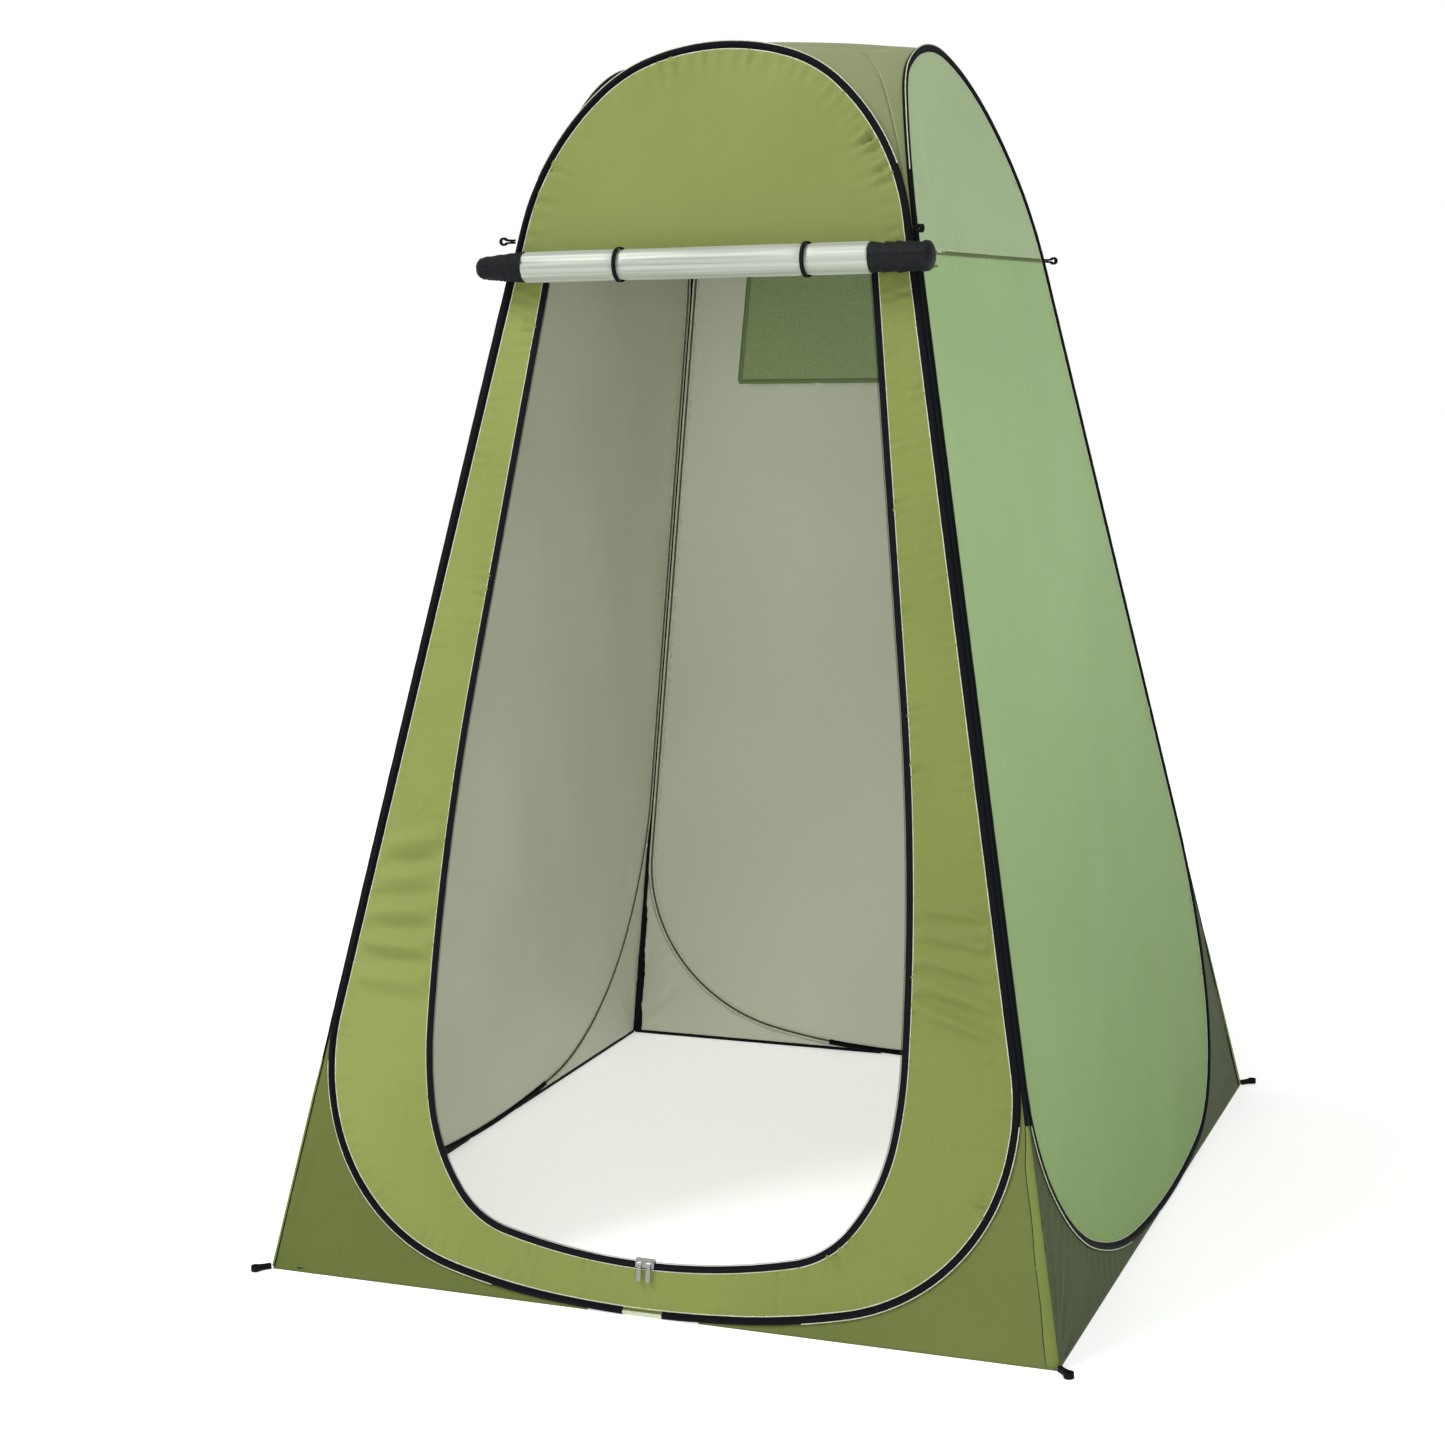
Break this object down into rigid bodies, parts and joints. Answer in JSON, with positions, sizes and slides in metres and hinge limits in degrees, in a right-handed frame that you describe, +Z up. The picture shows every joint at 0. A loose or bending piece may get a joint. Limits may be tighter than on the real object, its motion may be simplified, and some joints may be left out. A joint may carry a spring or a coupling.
{
  "type": "privacy shower tent",
  "caption": "Pop-up privacy shower tent: leaning hoop panels with arched tops, an oval doorway with a rolled-up door, a back window and staked corner gussets.",
  "frame": {"origin": "on the ground at the middle of the footprint", "axes": "+Z up, the doorway faces -Y, +X to the right as seen facing the doorway"},
  "size_m": [1.3306, 1.5186, 1.8999],
  "materials": {
    "front_cloth": "matt coated polyester",
    "side_cloth": "matt coated polyester",
    "back_cloth": "matt coated polyester",
    "upper_cloth": "matt coated polyester",
    "roof_cloth": "matt coated polyester",
    "gusset_cloth": "matt coated polyester",
    "door_cloth": "matt coated polyester",
    "door_lining": "silver coated side of the cloth",
    "window_cloth": "matt coated polyester",
    "mesh": "fine netting",
    "window_tape": "woven tape",
    "black_binding": "woven binding",
    "black_tape": "woven tape",
    "black_webbing": "woven webbing",
    "roll_tape": "wound zip tape",
    "pale_channel": "bare channel cloth",
    "zip_coil": "nylon coil",
    "zip_metal": "nickel-plated",
    "spring_steel": "spring steel"
  },
  "bodies": {
    "front": {"front_hoop_wire": "spring_steel", "front_hoop_ferrule": "spring_steel", "front_hoop_sleeve": "black_binding", "front_sleeve_patch": "pale_channel", "front_header": "front_cloth", "front_surround": "front_cloth", "door_zip_tape": "black_tape", "door_zip_coil": "zip_coil", "tie_loop_left": "black_tape", "tie_loop_right": "black_tape", "front_gusset_left": "gusset_cloth", "front_gusset_right": "gusset_cloth", "roof_front": "roof_cloth", "corner_seam_front_left": "black_tape", "corner_seam_front_right": "black_tape", "stake_loop_front_left": "black_webbing", "stake_loop_front_right": "black_webbing", "guy_loop_front_left": "black_webbing", "guy_loop_front_right": "black_webbing"},
    "right": {"right_hoop_wire": "spring_steel", "right_hoop_ferrule": "spring_steel", "right_hoop_sleeve": "black_binding", "right_upper_panel": "upper_cloth", "right_lower_panel": "side_cloth", "right_gusset_left": "gusset_cloth", "right_gusset_right": "gusset_cloth", "roof_right": "roof_cloth", "corner_seam_back_right": "black_tape", "stake_loop_back_right": "black_webbing", "guy_loop_back_right": "black_webbing"},
    "back": {"back_hoop_wire": "spring_steel", "back_hoop_ferrule": "spring_steel", "back_hoop_sleeve": "black_binding", "back_upper_panel": "upper_cloth", "back_lower_panel": "back_cloth", "back_gusset_left": "gusset_cloth", "back_gusset_right": "gusset_cloth", "roof_back": "roof_cloth", "window_mesh": "mesh", "window_binding": "window_tape"},
    "left": {"left_hoop_wire": "spring_steel", "left_hoop_ferrule": "spring_steel", "left_hoop_sleeve": "black_binding", "left_upper_panel": "upper_cloth", "left_lower_panel": "side_cloth", "left_gusset_left": "gusset_cloth", "left_gusset_right": "gusset_cloth", "roof_left": "roof_cloth", "corner_seam_back_left": "black_tape", "stake_loop_back_left": "black_webbing", "guy_loop_back_left": "black_webbing"},
    "door": {"door_roll": "door_lining", "roll_end_left": "roll_tape", "roll_end_right": "roll_tape", "door_curtain": "door_cloth"},
    "window_cover": {"window_flap": "window_cloth"},
    "slider_left": {"zip_slider_left": "zip_metal"},
    "pull_left": {"zip_pull_left": "zip_metal"},
    "slider_right": {"zip_slider_right": "zip_metal"},
    "pull_right": {"zip_pull_right": "zip_metal"}
  },
  "joints": [
    {"name": "right_fold", "type": "hinge", "parent": "front", "child": "right", "pos_m": [0.637, -0.731, 0], "axis": [0.1854, -0.2128, -0.9594], "range_deg": [0, 86], "stiffness_Nm_per_rad": 1.2, "springref_deg": -34.38, "deforming": ["roof_front", "roof_right"]},
    {"name": "left_fold", "type": "hinge", "parent": "front", "child": "left", "pos_m": [-0.63181, -0.72584, -0.00215], "axis": [-0.1854, -0.2128, -0.9594], "range_deg": [0, 86], "deforming": ["roof_left"]},
    {"name": "back_fold", "type": "hinge", "parent": "right", "child": "back", "pos_m": [0.63181, 0.72584, -0.00215], "axis": [-0.1854, -0.2128, 0.9594], "range_deg": [0, 86], "deforming": ["roof_back"]},
    {"name": "door_unroll", "type": "slide", "parent": "front", "child": "door", "axis": [0, -0.2165, -0.9763], "range_m": [0, 1.395], "deforming": ["door_curtain", "tie_loop_left", "tie_loop_right"]},
    {"name": "window_flap_lift", "type": "hinge", "parent": "back", "child": "window_cover", "pos_m": [0, 0.38494, 1.57237], "axis": [1, 0, 0], "range_deg": [0, 150]},
    {"name": "slider_left_travel", "type": "hinge", "parent": "front", "child": "slider_left", "pos_m": [0, -0.4978, 1.05145], "axis": [0, 0.9763, -0.2165], "range_deg": [0, 12.3]},
    {"name": "slider_right_travel", "type": "hinge", "parent": "front", "child": "slider_right", "pos_m": [0, -0.4978, 1.05145], "axis": [0, -0.9763, 0.2165], "range_deg": [0, 12.3]},
    {"name": "pull_left_flip", "type": "hinge", "parent": "slider_left", "child": "pull_left", "pos_m": [-0.0076, -0.71975, 0.07935], "axis": [-1, 0, 0], "range_deg": [0, 110]},
    {"name": "pull_right_flip", "type": "hinge", "parent": "slider_right", "child": "pull_right", "pos_m": [0.0076, -0.71975, 0.07935], "axis": [-1, 0, 0], "range_deg": [0, 110]}
  ],
  "couplings": [
    {"joint": "left_fold", "follows": "right_fold", "ratio": 1},
    {"joint": "back_fold", "follows": "right_fold", "ratio": 1}
  ]
}
